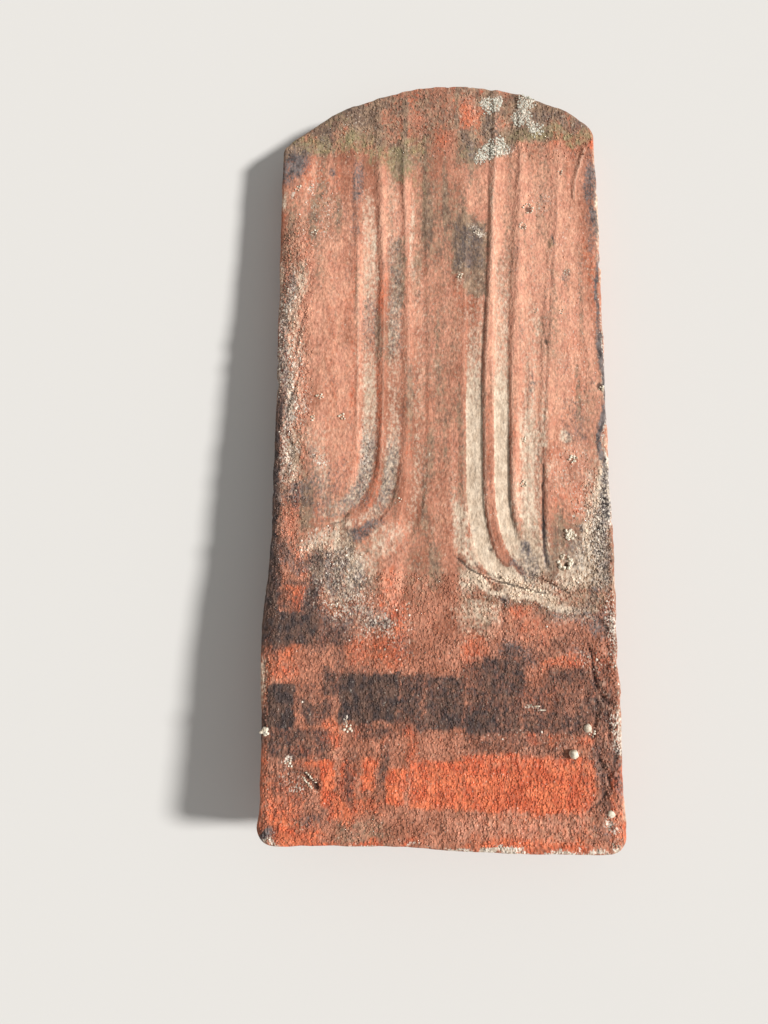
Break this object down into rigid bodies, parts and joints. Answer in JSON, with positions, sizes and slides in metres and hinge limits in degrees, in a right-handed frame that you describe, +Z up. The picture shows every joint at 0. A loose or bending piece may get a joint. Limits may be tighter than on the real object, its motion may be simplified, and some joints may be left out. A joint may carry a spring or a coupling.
{
  "type": "clay roof tile",
  "caption": "Flat fired-clay roof tile with a rounded tail, finger-drawn drainage grooves and a hooking nib underneath.",
  "frame": {"origin": "bottom centre of the bounding box, on the floor that the tile lies on", "axes": "+Y toward the rounded tail, along the length; +X across the width, to the right when the tail points away; +Z up, through the grooved face, which leans 2.9 degrees because the nib holds the head up"},
  "size_m": [0.162, 0.3802, 0.0362],
  "materials": {
    "fired_clay": "unglazed orange-red fired clay, sanded and weathered, with grey-brown grime and pale lichen"
  },
  "bodies": {
    "root": {"tile": "fired_clay"}
  },
  "joints": []
}
